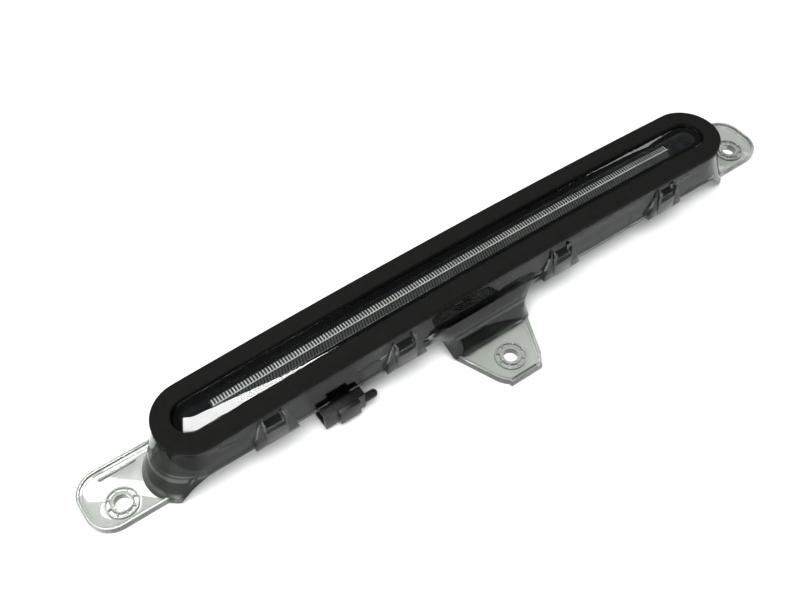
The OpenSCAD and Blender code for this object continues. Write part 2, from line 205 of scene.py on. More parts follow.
@dataclass(frozen=True)
class Foam:
    """Matt black closed-cell foam with a fine skin."""

    colour: tuple[float, float, float] = (0.0062, 0.0062, 0.0058)

    def make(self) -> bpy.types.Material:
        """Build the material."""
        graph = Graph("foam_skin")
        mottle = graph.noise(260, 4)
        pores = graph.cells(5200)
        graph.set(Base_Color=graph.blend(mottle, shade(self.colour, 0.8), shade(self.colour, 1.25)),
                  Roughness=graph.ramp(graph.noise(900, 3), 0.3, 0.7, 0.72, 0.9),
                  Specular_IOR_Level=0.06,
                  Normal=graph.bump(graph.ramp(pores, 0.0, 0.6, 0.0, 1.0) * 0.6 + mottle * 0.4, 0.00003, 0.5))
        return graph.material


@dataclass(frozen=True)
class ClearPlastic:
    """Slightly smoky moulded plastic that light passes through; its darker copies carry painted shade."""

    name: str = "clear_moulding"
    colour: tuple[float, float, float] = (0.56, 0.59, 0.55)
    rough: float = 0.03
    alpha: float = 0.8
    ior: float = 1.58
    shine: float = 0.5

    def make(self) -> bpy.types.Material:
        """Build the material."""
        graph = Graph(self.name)
        flow = graph.noise(55, 2, (0.3, 1, 1))
        haze = graph.noise(420, 3)
        tint = graph.blend(flow, shade(self.colour, 0.95), shade(self.colour, 1.04))
        graph.set(Base_Color=tint,
                  Roughness=graph.ramp(haze, 0.35, 0.75, self.rough * 0.6, self.rough * 1.8),
                  Transmission_Weight=1.0, IOR=self.ior, Alpha=self.alpha,
                  Specular_IOR_Level=self.shine,
                  Normal=graph.bump(flow, 0.0002, 0.12))
        return graph.material


@dataclass(frozen=True)
class Moulded:
    """Opaque plastic, rubber or metal with a fine grain."""

    name: str
    colour: tuple[float, float, float]
    rough: float = 0.45
    grain: float = 2400.0
    depth: float = 0.00002
    metal: float = 0.0
    coat: float = 0.0
    vary: float = 0.15
    shine: float = 0.5

    def make(self) -> bpy.types.Material:
        """Build the material."""
        graph = Graph(self.name)
        patch = graph.noise(140, 3)
        grain = graph.noise(self.grain, 4)
        dark, light = shade(self.colour, 1 - self.vary), shade(self.colour, 1 + self.vary)
        smooth, worn = self.rough * 0.85, min(1.0, self.rough * 1.15)
        graph.set(Base_Color=graph.blend(patch, dark, light),
                  Roughness=graph.ramp(graph.noise(500, 2), 0.3, 0.7, smooth, worn),
                  Metallic=self.metal, Coat_Weight=self.coat, Specular_IOR_Level=self.shine,
                  Normal=graph.bump(grain, self.depth, 0.6))
        return graph.material


@dataclass(frozen=True)
class Finishes:
    """Every finish of the lamp, made once."""

    made: dict = field(default_factory=dict)

    def get(self, finish: Foam | ClearPlastic | Moulded) -> bpy.types.Material:
        """The material of a finish."""
        if finish not in self.made:
            self.made[finish] = finish.make()
        return self.made[finish]


FOAM = Foam()
CLEAR = ClearPlastic(shine=0.15)
# Painted shade: a dark copy of the clear plastic for steep faces on the tabs, such as rim sides and boss
# walls, standing for the dark lines that clear plastic shows along its edges.
EDGE = ClearPlastic("rim_painted_shade", (0.07, 0.08, 0.068), 0.03, 0.93, 1.5)
# Painted shade: a near-black copy of the clear plastic for the catch frames and the apron, standing for the
# shade seen through them.
PROUD = ClearPlastic("catch_painted_shade", (0.035, 0.04, 0.036), 0.03, 0.97, 1.42)
# Painted shade: a dark copy of the clear plastic for the walls, which are the same plastic as the tabs,
# standing for the shade seen through them.
WALL_SHADE = ClearPlastic("wall_painted_shade", (0.115, 0.13, 0.118), 0.03, 0.95, 1.2)
WINDOW = ClearPlastic("window_pad", (0.9, 0.92, 0.91), 0.012, 1.0, 1.49)
# Painted shade: the clear guide's bar is painted near black.
GUIDE = Moulded("guide_bar_painted_shade", (0.012, 0.012, 0.013), 0.3, 1800, 0.0000004, shine=0.05)
# Painted highlight: the upright teeth and the beads of the clear guide are painted near white for the glints
# of the lights above.
GUIDE_LIT = Moulded("guide_prism_painted_highlight", (0.84, 0.84, 0.83), 0.5, 3000, 0.000001, vary=0.1, shine=0.1)
# Painted shade: the slanted row and the faces that look along the bar are painted dark, a shaded copy of the
# lit teeth.
GUIDE_DIM = Moulded("guide_slant_painted_shade", (0.075, 0.077, 0.075), 0.5, 3000, 0.000001, vary=0.2, shine=0.1)
BEZEL_BLACK = Moulded("bezel_gloss", (0.006, 0.006, 0.007), 0.3, 1800, 0.0000003, vary=0.2, shine=0.03)
HOUSING_BLACK = Moulded("housing_black", (0.010, 0.010, 0.011), 0.5, 2600, 0.0000006, shine=0.04)
SOCKET_BLACK = Moulded("socket_black", (0.009, 0.009, 0.010), 0.3, 2600, 0.000003, shine=0.25)
NODE_FINISH = {
    "gasket_adhesive": Moulded("tape", (0.62, 0.62, 0.58), 0.5),
    "seal_bead": Moulded("weld_bead", (0.03, 0.03, 0.03), 0.6),
    "guide_reflector": Moulded("reflector_white", (0.06, 0.06, 0.06), 0.5, vary=0.1),
    "led_left": Moulded("phosphor", (0.85, 0.7, 0.25), 0.35, vary=0.05),
    "led_board_left": Moulded("board_aluminium", (0.7, 0.71, 0.72), 0.35, metal=1.0),
    "led_holder_left": Moulded("holder_black", (0.03, 0.03, 0.03), 0.5),
    "driver_board": Moulded("solder_mask", (0.015, 0.10, 0.045), 0.3, 1500, 0.00001, coat=0.4),
    "driver_chip": Moulded("chip_epoxy", (0.02, 0.02, 0.02), 0.55, 4000, 0.00001),
    "resistors": Moulded("resistor_ceramic", (0.03, 0.03, 0.035), 0.45, 4000, 0.00001),
    "capacitors": Moulded("can_aluminium", (0.78, 0.78, 0.79), 0.3, metal=1.0),
    "diodes": Moulded("diode_epoxy", (0.025, 0.025, 0.025), 0.5, 4000, 0.00001),
    "board_screws": Moulded("zinc_plate", (0.62, 0.62, 0.64), 0.32, metal=1.0),
    # Painted shade: the bezel screws, zinc on the real lamp, are painted black for the shade they sit in
    # behind the window.
    "bezel_screws": Moulded("screw_painted_shade", (0.02, 0.02, 0.022), 0.35, metal=0.9),
    "wires_left": Moulded("wire_insulation", (0.42, 0.02, 0.02), 0.4, 1200, 0.00001),
    "connector_terminals": Moulded("tinned_brass", (0.74, 0.66, 0.45), 0.28, metal=1.0),
    "connector_seal": Moulded("silicone_ring", (0.05, 0.05, 0.055), 0.6),
    "vent_body": Moulded("vent_plastic", (0.03, 0.03, 0.03), 0.5),
    "vent_membrane": Moulded("vent_fabric", (0.85, 0.85, 0.84), 0.9, 5000, 0.00003),
}
TWINS = {"led_right": "led_left", "led_board_right": "led_board_left", "led_holder_right": "led_holder_left",
         "wires_right": "wires_left"}


# ---------------------------------------------------------------- mesh tools

class Axis(Enum):
    """The direction that a prism is drawn out along."""

    X = 0
    Y = 1
    Z = 2


def finish_mesh(bm: bmesh.types.BMesh, merge: float = 2e-6) -> None:
    """Merge doubles and turn every face outwards."""
    bmesh.ops.remove_doubles(bm, verts=bm.verts, dist=merge)
    bmesh.ops.recalc_face_normals(bm, faces=bm.faces)


def bevel_sharp(bm: bmesh.types.BMesh, width: float, segments: int = 2, angle: float = 35.0) -> None:
    """Round every edge that turns more than an angle.

    Args:
        bm: The mesh.
        width: Width of the rounding.
        segments: Facets across it.
        angle: Smallest turn in degrees.
    """
    limit = math.radians(angle)
    edges = [e for e in bm.edges if len(e.link_faces) == 2 and e.calc_face_angle(0.0) > limit]
    bmesh.ops.bevel(bm, geom=edges, offset=width, offset_type="OFFSET", segments=segments, profile=0.5,
                    affect="EDGES", clamp_overlap=True, material=-1)


def to_object(bm: bmesh.types.BMesh, name: str) -> bpy.types.Object:
    """Turn a bmesh into a linked object with smooth faces.

    Args:
        bm: The mesh, which is freed.
        name: The object's name.

    Returns:
        The object.
    """
    mesh = bpy.data.meshes.new(name)
    bm.to_mesh(mesh)
    bm.free()
    made = bpy.data.objects.new(name, mesh)
    bpy.context.scene.collection.objects.link(made)
    mesh.shade_smooth()
    mesh.set_sharp_from_angle(angle=math.radians(32))
    return made


def combine(target: bpy.types.Object, tools: Iterable[bpy.types.Object], operation: str) -> None:
    """Join solids to a target or cut them from it, and remove them.

    Args:
        target: The piece that is changed.
        tools: The solids.
        operation: UNION or DIFFERENCE.
    """
    for tool in tools:
        step = target.modifiers.new("step", "BOOLEAN")
        step.operation = operation
        step.solver = "MANIFOLD"
        step.object = tool
        depsgraph = bpy.context.evaluated_depsgraph_get()
        mesh = bpy.data.meshes.new_from_object(target.evaluated_get(depsgraph))
        target.modifiers.clear()
        target.data = mesh
        bpy.data.objects.remove(tool)
    target.data.shade_smooth()
    target.data.set_sharp_from_angle(angle=math.radians(32))


def prism(points: Sequence[Point], axis: Axis, low: float, high: float, round_edge: float = 0.0,
          segments: int = 2) -> bmesh.types.BMesh:
    """Draw an outline out along an axis.

    Args:
        points: The outline. (y, z) for X, (x, z) for Y and (x, y) for Z.
        axis: The direction.
        low: Where it starts.
        high: Where it ends.
        round_edge: Width of the rounding on its edges.
        segments: Facets across the rounding.

    Returns:
        The solid.
    """
    bm = bmesh.new()
    spot = {Axis.X: lambda p: (low, p[0], p[1]), Axis.Y: lambda p: (p[0], low, p[1]),
            Axis.Z: lambda p: (p[0], p[1], low)}[axis]
    face = bm.faces.new([bm.verts.new(spot(p)) for p in points])
    grown = bmesh.ops.extrude_face_region(bm, geom=[face])["geom"]
    shift = Vector((0, 0, 0))
    shift[axis.value] = high - low
    bmesh.ops.translate(bm, verts=[v for v in grown if isinstance(v, bmesh.types.BMVert)], vec=shift)
    finish_mesh(bm)
    if round_edge:
        bevel_sharp(bm, round_edge, segments)
    return bm


def block(low: Sequence[float], high: Sequence[float], round_edge: float = 0.0) -> bmesh.types.BMesh:
    """A box between two corners with rounded edges."""
    bm = bmesh.new()
    bmesh.ops.create_cube(bm, size=1.0)
    size = [b - a for a, b in zip(low, high)]
    middle = [(a + b) / 2 for a, b in zip(low, high)]
    bmesh.ops.scale(bm, vec=size, verts=bm.verts)
    bmesh.ops.translate(bm, vec=middle, verts=bm.verts)
    if round_edge:
        bevel_sharp(bm, round_edge)
    return bm


def lathe(profile: Sequence[Point], centre: tuple[float, float], steps: int = 64) -> bmesh.types.BMesh:
    """Spin a closed profile of (radius, height) points about an upright axis.

    Args:
        profile: The closed profile.
        centre: Where the axis stands.
        steps: Facets round the turn.

    Returns:
        The solid.
    """
    bm = bmesh.new()
    verts = [bm.verts.new((centre[0] + r, centre[1], z)) for r, z in profile]
    edges = [bm.edges.new((a, b)) for a, b in zip(verts, verts[1:] + verts[:1])]
    bmesh.ops.spin(bm, geom=verts + edges, cent=(*centre, 0), axis=(0, 0, 1), angle=math.tau, steps=steps,
                   use_merge=True)
    finish_mesh(bm)
    return bm


def stadium_sweep(profile: Sequence[Point], half: float, lamp_y: float, closed: bool,
                  steps_x: int = 48, steps_round: int = 40) -> bmesh.types.BMesh:
    """Sweep a profile of (radius, height) points round a round-ended outline.

    Args:
        profile: The profile. Where it isn't closed it starts and ends at radius 0.
        half: Half the length of the straight sides.
        lamp_y: Place of the outline's centre line.
        closed: Whether the profile is a ring.
        steps_x: Facets along each straight side.
        steps_round: Facets round each end.

    Returns:
        The solid.
    """
    bm = bmesh.new()
    verts = [bm.verts.new((-half, lamp_y - r, z)) for r, z in profile]
    ends = verts[1:] + verts[:1] if closed else verts[1:]
    geom = verts + [bm.edges.new((a, b)) for a, b in zip(verts, ends)]
    for side in (1, -1):
        for _ in range(steps_x):
            edges = [e for e in geom if isinstance(e, bmesh.types.BMEdge)]
            grown = bmesh.ops.extrude_edge_only(bm, edges=edges)
            fresh = {v for v in grown["geom"] if isinstance(v, bmesh.types.BMVert)}
            bmesh.ops.translate(bm, verts=list(fresh), vec=(side * 2 * half / steps_x, 0, 0))
            geom = list(fresh) + [e for e in grown["geom"]
                                  if isinstance(e, bmesh.types.BMEdge) and set(e.verts) <= fresh]
        geom = bmesh.ops.spin(bm, geom=geom, cent=(side * half, lamp_y, 0), axis=(0, 0, 1), angle=math.pi,
                              steps=steps_round)["geom_last"]
    finish_mesh(bm)
    return bm


def arc(centre: Point, radius: float, start: float, end: float, steps: int = 4) -> list[Point]:
    """Points along an arc, with angles in degrees."""
    turns = [math.radians(start + (end - start) * i / steps) for i in range(steps + 1)]
    return [(centre[0] + radius * math.cos(t), centre[1] + radius * math.sin(t)) for t in turns]


def put(piece: bpy.types.Object, slot: str, *nodes: str) -> bpy.types.Object:
    """Set a piece on the lamp's body in place of its CAD nodes.

    Args:
        piece: The finished piece.
        slot: The record's material slot; not used.
        nodes: The CAD nodes that it stands for.

    Returns:
        The piece.
    """
    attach(piece, BODY)
    if nodes:
        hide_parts(*nodes)
    log.info("built %s: %d faces", piece.name, len(piece.data.polygons))
    return piece


def dress(piece: bpy.types.Object, material: bpy.types.Material) -> None:
    """Give a piece one material."""
    piece.data.materials.clear()
    piece.data.materials.append(material)


# ---------------------------------------------------------------- the lamp

@dataclass(frozen=True)
class Lamp:
    """Driving sizes that the sub-assemblies share."""

    strip: float = 8.2 * MM
    foam_t: float = 3.4 * MM
    bow_r: float = 2.97
    tape_t: float = 0.3 * MM
    flange_t: float = 2.6 * MM
    pad_drop: float = 1.3 * MM
    wall_t: float = 2.2 * MM
    wall_z: float = 12.5 * MM
    tab_t: float = 2.4 * MM
    rim_h: float = 1.0 * MM
    hole_r: float = 3.4 * MM
    hole_x: float = 171.1 * MM
    reach: float = 34.8 * MM

    @cached_property
    def face(self) -> tuple[Vector, Vector]:
        """The gasket's box."""
        low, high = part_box("gasket")
        return Vector(low), Vector(high)

    @cached_property
    def y(self) -> float:
        """Place of the lamp's centre line."""
        return (self.face[0].y + self.face[1].y) / 2

    @cached_property
    def top(self) -> float:
        """Height of the face's middle."""
        return self.face[1].z

    @cached_property
    def outer_r(self) -> float:
        """Radius of the gasket's round ends."""
        return (self.face[1].y - self.face[0].y) / 2

    @cached_property
    def half(self) -> float:
        """Half the length of the gasket's straight sides."""
        return (self.face[1].x - self.face[0].x) / 2 - self.outer_r

    @cached_property
    def lens_r(self) -> float:
        """Radius of the moulding's round ends."""
        return self.outer_r - 0.5 * MM

    @cached_property
    def flange_top(self) -> float:
        """Height of the flange's top at the middle."""
        return self.top - self.foam_t - self.tape_t

    @cached_property
    def flange_z(self) -> float:
        """Height of the flange's underside at the middle."""
        return self.flange_top - self.flange_t

    def bow(self, x: float) -> float:
        """Drop of the face at a place along the lamp."""
        return self.bow_r - math.sqrt(self.bow_r ** 2 - x * x)

    def bend(self, bm: bmesh.types.BMesh) -> None:
        """Bend a mesh to the face's bow."""
        for vert in bm.verts:
            vert.co.z -= self.bow(vert.co.x)


@dataclass
class Gasket:
    """The foam ring round the window."""

    lamp: Lamp
    edge: float = 0.55 * MM

    def profile(self) -> list[Point]:
        """Section of the ring, with a soft top and small lower edges."""
        lamp = self.lamp
        out, inn = lamp.outer_r, lamp.outer_r - lamp.strip
        low, top, e = lamp.top - lamp.foam_t, lamp.top, self.edge
        small = e / 3
        mid = [(inn + e + (out - inn - 2 * e) * i / 4, top) for i in (1, 2, 3)]
        return [*arc((inn + e, top - e), e, 180, 90), *mid, *arc((out - e, top - e), e, 90, 0),
                *arc((out - small, low + small), small, 0, -90, 2),
                *arc((inn + small, low + small), small, -90, -180, 2)]

    def build(self, finishes: Finishes) -> bpy.types.Object:
        """Sweep, bend and dress the ring."""
        bm = stadium_sweep(self.profile(), self.lamp.half, self.lamp.y, closed=True)
        self.lamp.bend(bm)
        piece = to_object(bm, "gasket_foam")
        dress(piece, finishes.get(FOAM))
        return put(piece, "foam", "gasket")


class Zone(IntEnum):
    """The moulding's zones, in the order of its materials."""

    TAB = 0
    WINDOW = 1
    WALL = 2
    EDGE = 3
    CATCH = 4


@dataclass
class Moulding:
    """The clear moulding: window pad, flange, walls, flared ends, tabs, apron and catch frames."""

    lamp: Lamp
    flare: float = 10 * MM
    crown_r: float = 120 * MM
    catches: tuple[float, ...] = (-107 * MM, -43 * MM, 43 * MM, 107 * MM)

    def window(self) -> bmesh.types.BMesh:
        """The flange and the crowned window pad."""
        lamp = self.lamp
        pad_r = lamp.outer_r - lamp.strip - 0.3 * MM
        pad_top, low = lamp.top - lamp.pad_drop, lamp.flange_z
        out, e = lamp.lens_r, 0.4 * MM
        crown = [(pad_r * i / 8, pad_top - (pad_r * i / 8) ** 2 / (2 * self.crown_r)) for i in range(8)]
        lip = pad_top - pad_r ** 2 / (2 * self.crown_r)
        hollow = pad_r - 3 * MM
        profile = [*crown, *arc((pad_r - e, lip - e), e, 80, 0, 3), (pad_r, lamp.flange_top),
                   *arc((out - e, lamp.flange_top - e), e, 90, 0, 3), (out, low),
                   (hollow, low), (hollow - 0.4 * MM, low + 2.2 * MM), (0, low + 2.2 * MM)]
        bm = stadium_sweep(profile, lamp.half, lamp.y, closed=False)
        lamp.bend(bm)
        return bm

    def drop(self, z: float) -> float:
        """How far down the wall a height is, from 0 at the flange to 1 at the tabs."""
        lamp = self.lamp
        return min(1.25, max(0.0, (lamp.flange_z - z) / (lamp.flange_z - lamp.tab_t)))

    def spread(self, x: float, drop: float) -> float:
        """How far the flared end leans outwards at a place and a drop."""
        back = 14 * MM
        weight = min(1.0, max(0.0, (abs(x) - (self.lamp.half - back)) / back))
        return self.flare * weight * drop ** 1.25

    def foot(self, x: float) -> float:
        """Height of the wall's lower edge at a place along the lamp."""
        lamp = self.lamp
        start, end = 140 * MM, 150.1 * MM
        t = min(1.0, max(0.0, (abs(x) - start) / (end - start)))
        ease = 1 - math.sqrt(1 - t * t)
        return lamp.wall_z + (lamp.tab_t * 0.5 - lamp.wall_z) * ease

    def lean(self, bm: bmesh.types.BMesh, top: float, low: float) -> None:
        """Shape a straight ring into the walls: bowed above, arched below and flared at its ends."""
        lamp = self.lamp
        for vert in bm.verts:
            x = vert.co.x
            t = (top - vert.co.z) / (top - low)
            z_top = lamp.flange_z - lamp.bow(x) + 0.8 * MM
            z = z_top - t * (z_top - self.foot(abs(x) + self.spread(x, 1.0)))
            vert.co.x += math.copysign(self.spread(x, self.drop(z)), x)
            vert.co.z = z

    def walls(self) -> bmesh.types.BMesh:
        """The side walls and flared ends."""
        lamp, rows = self.lamp, 12
        top, low = lamp.flange_z, 0.0
        out, inn = lamp.lens_r, lamp.lens_r - lamp.wall_t
        lip = 0.35 * MM
        down = [(out + (lip if i == rows else 0.0), top + (low - top) * i / rows) for i in range(rows + 1)]
        down.insert(rows, (out + lip, low + 0.05 * (top - low)))
        up = [(inn, low + (top - low) * i / rows) for i in range(rows + 1)]
        bm = stadium_sweep(down + up, lamp.half, lamp.y, closed=True, steps_x=64)
        self.lean(bm, top, low)
        return bm

    def hollow(self) -> bmesh.types.BMesh:
        """The space inside the walls, which opens through the end tabs."""
        lamp, rows = self.lamp, 12
        top, low = lamp.flange_z - 5 * MM, -3 * MM
        inn = lamp.lens_r - lamp.wall_t
        side = [(inn, top + (low - top) * i / rows) for i in range(rows + 1)]
        bm = stadium_sweep([(0, top), *side, (0, low)], lamp.half, lamp.y, closed=False)
        for vert in bm.verts:
            vert.co.x += math.copysign(self.spread(vert.co.x, self.drop(vert.co.z)), vert.co.x)
        return bm

    def lip_z(self, z: float) -> bool:
        """Whether a height lies in the lip along the wall's foot."""
        return self.lamp.wall_z - 0.1 * MM < z < self.lamp.wall_z + 1.2 * MM

    def ribs(self) -> list[bmesh.types.BMesh]:
        """Small ribs and bars that stand on the near wall."""
        y1 = self.lamp.y - self.lamp.lens_r + 0.5 * MM
        y0 = y1 - 0.9 * MM
        bars = ((-130.8, 24.0, -124.0, 25.3), (-130.8, 24.0, -129.4, 27.6), (116.0, 26.2, 122.0, 27.4),
                (85.6, 13.0, 86.8, 20.0), (-66.0, 22.4, -52.0, 23.6), (10.0, 22.2, 24.0, 23.2))
        return [block((x0 * MM, y0, z0 * MM), (x1 * MM, y1, z1 * MM), 0.25 * MM) for x0, z0, x1, z1 in bars]

    def tray(self, outline: Sequence[Point], rim_w: float = 1.3 * MM) -> bmesh.types.BMesh:
        """A tab plate with a raised rim and a shallow step inside it.

        Args:
            outline: The tab's outline in plan.
            rim_w: Width of the rim.

        Returns:
            The solid.
        """
        lamp = self.lamp
        bm = prism(outline, Axis.Z, 0.0, lamp.tab_t + lamp.rim_h)
        top = max(bm.faces, key=lambda f: f.calc_center_median().z)
        for width, drop in ((rim_w, lamp.rim_h), (1.1 * MM, 0.25 * MM)):
            bmesh.ops.inset_region(bm, faces=[top], thickness=width, use_even_offset=True)
            sunk = bmesh.ops.extrude_face_region(bm, geom=[top])["geom"]
            bmesh.ops.delete(bm, geom=[top], context="FACES_ONLY")
            top = next(f for f in sunk if isinstance(f, bmesh.types.BMFace))
            bmesh.ops.translate(bm, verts=top.verts, vec=(0, 0, -drop))
        finish_mesh(bm)
        bevel_sharp(bm, 0.3 * MM, 3, 40)
        return bm

    def end_outline(self) -> list[Point]:
        """Outline of the end tab on the +X side."""
        lamp = self.lamp
        x0, x1 = 146 * MM, lamp.hole_x + 15.1 * MM
        y0, y1, r = -9.8 * MM, 19.6 * MM, 11.3 * MM
        near, far = arc((x1 - r, y0 + r), r, -90, 0, 12), arc((x1 - r, y1 - r), r, 0, 90, 12)
        return [(x0, y0), *near, *far, (x0, y1)]

    def centre_outline(self) -> list[Point]:
        """Outline of the centre tab: a round end with straight sides and a flat outer edge."""
        r, root_w, root_y, end_y = 13.3 * MM, 20 * MM, -21.2 * MM, -46.5 * MM
        cy = -self.lamp.reach
        dx, dy = root_w, root_y - cy
        start = math.degrees(math.atan2(dy, dx) - math.acos(r / math.hypot(dx, dy)))
        stop = math.degrees(math.asin((end_y + 1.6 * MM - cy) / r))
        ear = [(8.7 * MM, end_y + 1.3 * MM), (8.3 * MM, end_y)]
        right = [(root_w, root_y), *arc((0, cy), r, start, stop, 10), *ear]
        return right[::-1] + [(-x, y) for x, y in right]

    def boss(self, centre: tuple[float, float]) -> list[bmesh.types.BMesh]:
        """Raised collar, ring and spokes round a tab hole."""
        lamp = self.lamp
        low, high, e = lamp.tab_t - 0.6 * MM, lamp.tab_t + lamp.rim_h, 0.25 * MM
        inn, collar, ring, wide = lamp.hole_r - 1 * MM, 4.9 * MM, 7.2 * MM, 0.8 * MM
        shoulder = arc((collar - e, high - e), e, 0, 90, 3)
        parts = [lathe([(inn, low), (collar, low), *shoulder, (inn, high)], centre)]
        top = high - 0.2 * MM
        parts.append(lathe([(ring - wide, low), (ring, low), *arc((ring - e, top - e), e, 0, 90, 3),
                            *arc((ring - wide + e, top - e), e, 90, 180, 3)], centre))
        for i in range(8):
            spoke = block((collar - 0.3 * MM, -wide / 2, low),
                          (ring - wide / 2, wide / 2, top - 0.05 * MM), 0.15 * MM)
            turn = Matrix.Rotation(i * math.pi / 4, 3, "Z")
            bmesh.ops.rotate(spoke, verts=spoke.verts, cent=(0, 0, 0), matrix=turn)
            bmesh.ops.translate(spoke, verts=spoke.verts, vec=(*centre, 0))
            parts.append(spoke)
        return parts

    def catch(self, x: float, far: bool) -> list[bmesh.types.BMesh]:
        """One catch frame with a wedge on each side.

        Args:
            x: Place along the lamp.
            far: Whether it is on the +Y wall.

        Returns:
            The solids.
        """
        lamp = self.lamp
        y0, proud, half, post = -lamp.lens_r, 2.35 * MM, 5.2 * MM, 0.9 * MM
        low, notch, top = lamp.wall_z, 21 * MM, 27.4 * MM
        inset = half - post
        frame_line = [(-half, low), (half, low), (half, top), (inset, top), (inset, notch), (-inset, notch),
                      (-inset, top), (-half, top)]
        parts = [prism(frame_line, Axis.Y, y0 - proud, y0 + 0.6 * MM, 0.3 * MM)]
        under = notch - 0.9 * MM
        ledge = prism([(-inset, under), (inset, under), (inset, notch), (-inset, notch)], Axis.Y,
                      y0 - proud - 0.2 * MM, y0, 0.18 * MM)
        parts.append(ledge)
        for side in (-1, 1):
            wedge = prism([(y0 + 0.6 * MM, low), (y0 - proud, low), (y0 - proud, low + 1.4 * MM),
                           (y0 - 0.5 * MM, top - 0.6 * MM), (y0 + 0.6 * MM, top - 0.6 * MM)],
                          Axis.X, 0.0, 5.1 * MM)
            for vert in wedge.verts:
                if vert.co.z > low + 5 * MM:
                    vert.co.x *= 0.25
            bevel_sharp(wedge, 0.25 * MM)
            bmesh.ops.translate(wedge, verts=wedge.verts, vec=(half - 0.05 * MM, 0, 0))
            if side < 0:
                bmesh.ops.scale(wedge, vec=(-1, 1, 1), verts=wedge.verts)
                bmesh.ops.recalc_face_normals(wedge, faces=wedge.faces)
            parts.append(wedge)
        for part in parts:
            if far:
                bmesh.ops.scale(part, vec=(1, -1, 1), verts=part.verts)
                bmesh.ops.recalc_face_normals(part, faces=part.faces)
            bmesh.ops.translate(part, verts=part.verts, vec=(x, lamp.y, 0))
        return parts

    def apron(self) -> bmesh.types.BMesh:
        """The steep face that spreads from the centre tab up to the wall."""
        lamp = self.lamp
        rows, root, spread = 14, 20 * MM, 13 * MM
        y_top, y_low = lamp.y - lamp.lens_r, -21.7 * MM
        z_top, z_low = 19 * MM, lamp.tab_t - 1.2 * MM
        bm = bmesh.new()
        bmesh.ops.create_grid(bm, x_segments=24, y_segments=rows, size=1.0)
        for vert in bm.verts:
            u, t = vert.co.x, (vert.co.y + 1) / 2
            half = root + spread * (1 - math.sqrt(max(0.0, 1 - t ** 2.2)))
            edge = max(0.0, abs(u) - 0.8) / 0.2
            lean = y_low + (y_top - y_low) * t ** 1.15
            back = (y_top + 0.9 * MM - lean) * edge ** 2 * min(1.0, 1.6 * t + 0.2)
            vert.co = Vector((half * u, lean + back, z_low + (z_top - z_low) * t))
        made = to_object(bm, "apron_skin")
        thick = made.modifiers.new("thick", "SOLIDIFY")
        thick.thickness = 2.0 * MM
        thick.offset = 1.0
        mesh = bpy.data.meshes.new_from_object(made.evaluated_get(bpy.context.evaluated_depsgraph_get()))
        bm = bmesh.new()
        bm.from_mesh(mesh)
        bpy.data.objects.remove(made)
        finish_mesh(bm)
        return bm

    def build(self, finishes: Finishes) -> bpy.types.Object:
        """Join every part of the moulding, cut its holes and dress it."""
        lamp = self.lamp
        piece = to_object(self.window(), "clear_moulding")
        walls = to_object(self.walls(), "walls")
        ends = []
        for side in (1, -1):
            tab = self.tray(self.end_outline())
            bead = block((158 * MM, 14 * MM, lamp.tab_t - 0.8 * MM),
                         (175 * MM, 15.2 * MM, lamp.tab_t + 0.6 * MM), 0.4 * MM)
            for part in [tab, bead, *self.boss((lamp.hole_x, 0.0))]:
                if side < 0:
                    bmesh.ops.scale(part, vec=(-1, 1, 1), verts=part.verts)
                    bmesh.ops.recalc_face_normals(part, faces=part.faces)
                ends.append(to_object(part, "end_part"))
        combine(walls, ends, "UNION")
        combine(walls, [to_object(self.hollow(), "hollow")], "DIFFERENCE")
        parts = [walls, to_object(self.apron(), "apron"),
                 to_object(self.tray(self.centre_outline()), "centre_tab")]
        parts += [to_object(p, "boss") for p in self.boss((0.0, -lamp.reach))]
        for x in self.catches:
            for far in (False, True):
                parts += [to_object(p, "catch") for p in self.catch(x, far)]
        parts += [to_object(p, "rib") for p in self.ribs()]
        combine(piece, parts, "UNION")
        combine(piece, self.cuts(), "DIFFERENCE")
        dress(piece, finishes.get(CLEAR))
        # The window copy is clear; the wall, rim and catch copies are painted shade.
        for finish in (WINDOW, WALL_SHADE, EDGE, PROUD):
            piece.data.materials.append(finishes.get(finish))
        for face in piece.data.polygons:
            face.material_index = self.zone(face)
        return put(piece, "clear_lens", "lens_housing")

    def cuts(self) -> list[bpy.types.Object]:
        """The catch openings and the three tab holes, as solids to take away."""
        lamp = self.lamp
        holes = []
        for x in self.catches:
            for low, high in ((lamp.y - lamp.lens_r - 5 * MM, lamp.y - 10 * MM),
                              (lamp.y + 10 * MM, lamp.y + lamp.lens_r + 5 * MM)):
                opening = block((x - 4.25 * MM, low, 21 * MM), (x + 4.25 * MM, high, 27.3 * MM))
                holes.append(to_object(opening, "cut"))
        for centre in ((lamp.hole_x, 0.0), (-lamp.hole_x, 0.0), (0.0, -lamp.reach)):
            bore = bmesh.new()
            bmesh.ops.create_cone(bore, cap_ends=True, segments=64, radius1=lamp.hole_r, radius2=lamp.hole_r,
                                  depth=20 * MM)
            bmesh.ops.translate(bore, verts=bore.verts, vec=(*centre, 0))
            holes.append(to_object(bore, "bore"))
        return holes

    def zone(self, face: bpy.types.MeshPolygon) -> int:
        """The zone of the moulding that a face lies in.

        Args:
            face: The face.

        Returns:
            The zone, which is also the material's place on the piece.
        """
        lamp, spot = self.lamp, face.center
        reach, level = lamp.outer_r - lamp.strip + 0.2 * MM, lamp.flange_z + 1.5 * MM
        off = math.hypot(max(0.0, abs(spot.x) - lamp.half), spot.y - lamp.y)
        if off < reach and spot.z + lamp.bow(spot.x) > level:
            return Zone.WINDOW
        # Painted highlight: the lip along the wall's foot takes the lighter tab material, which draws a
        # bright line there.
        if off > lamp.lens_r + 0.1 * MM and self.lip_z(spot.z):
            return Zone.TAB
        # Walls take the wall copy and the catches and apron the catch copy, both painted shade.
        if spot.z > lamp.tab_t + lamp.rim_h + 0.1 * MM:
            stands_out = off > lamp.lens_r + 0.45 * MM and abs(spot.x) < lamp.half - 16 * MM
            return Zone.CATCH if stands_out else Zone.WALL
